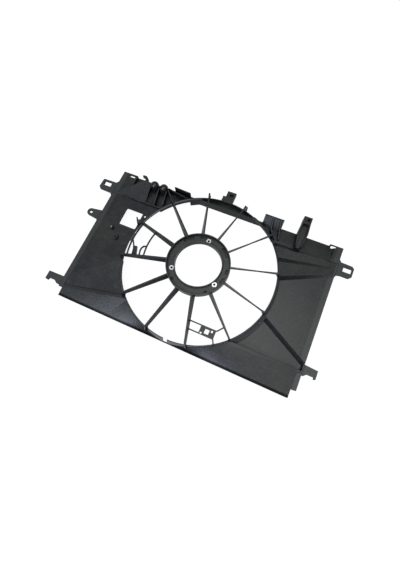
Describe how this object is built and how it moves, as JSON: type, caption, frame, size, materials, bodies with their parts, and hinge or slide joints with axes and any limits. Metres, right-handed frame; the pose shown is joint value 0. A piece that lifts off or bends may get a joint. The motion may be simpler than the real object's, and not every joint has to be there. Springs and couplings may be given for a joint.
{
  "type": "radiator fan shroud",
  "caption": "Single-fan radiator shroud: flat panel with a fan ring, pitched vanes to a three-bush motor ring, side tabs, hooks and harness clips.",
  "frame": {"origin": "on the motor axis, in the plane of the faces of the three motor bushes", "axes": "+X along the shroud's long edges towards the plain slot tab's side, +Y towards the upper edge with the brackets, +Z along the motor axis from the radiator towards the engine"},
  "size_m": [0.703, 0.4275, 0.068],
  "materials": {
    "shroud_plastic": "satin moulded black, glass-filled polypropylene",
    "bush_steel": "bright zinc"
  },
  "bodies": {
    "root": {"bottom_skirt": "shroud_plastic", "dome_boss_1": "shroud_plastic", "dome_boss_2": "shroud_plastic", "fan_ring": "shroud_plastic", "guide_post": "shroud_plastic", "harness_plate": "shroud_plastic", "inner_wire_guide": "shroud_plastic", "left_eyelet_tab": "shroud_plastic", "left_lower_hook": "shroud_plastic", "left_panel": "shroud_plastic", "left_skirt": "shroud_plastic", "left_slot_tab": "shroud_plastic", "locating_stud": "shroud_plastic", "lower_left_apron": "shroud_plastic", "lower_left_facet": "shroud_plastic", "lower_right_apron": "shroud_plastic", "lower_right_facet": "shroud_plastic", "motor_bush_1": "bush_steel", "motor_bush_2": "bush_steel", "motor_bush_3": "bush_steel", "motor_ring_floor": "shroud_plastic", "motor_ring_inner_wall": "shroud_plastic", "motor_ring_outer_wall": "shroud_plastic", "pocket_lower_ridge": "shroud_plastic", "pocket_rib_1": "shroud_plastic", "pocket_rib_2": "shroud_plastic", "pocket_rib_3": "shroud_plastic", "pocket_upper_ridge": "shroud_plastic", "right_lower_hook": "shroud_plastic", "right_panel": "shroud_plastic", "right_pleats": "shroud_plastic", "right_skirt": "shroud_plastic", "right_slot_tab": "shroud_plastic", "ring_ledge": "shroud_plastic", "ring_top_clip": "shroud_plastic", "screw_boss": "shroud_plastic", "top_box_bracket": "shroud_plastic", "top_edge_hook": "shroud_plastic", "top_edge_ridge": "shroud_plastic", "top_finger_bracket": "shroud_plastic", "top_left_flap": "shroud_plastic", "top_skirt": "shroud_plastic", "upper_left_flange": "shroud_plastic", "upper_left_pocket": "shroud_plastic", "upper_right_panel": "shroud_plastic", "vane_01": "shroud_plastic", "vane_02": "shroud_plastic", "vane_03": "shroud_plastic", "vane_04": "shroud_plastic", "vane_05": "shroud_plastic", "vane_06": "shroud_plastic", "vane_07": "shroud_plastic", "vane_08": "shroud_plastic", "vane_09": "shroud_plastic", "vane_10": "shroud_plastic", "vane_11": "shroud_plastic", "vane_12": "shroud_plastic", "window_clip": "shroud_plastic", "wire_guides": "shroud_plastic"}
  },
  "joints": []
}
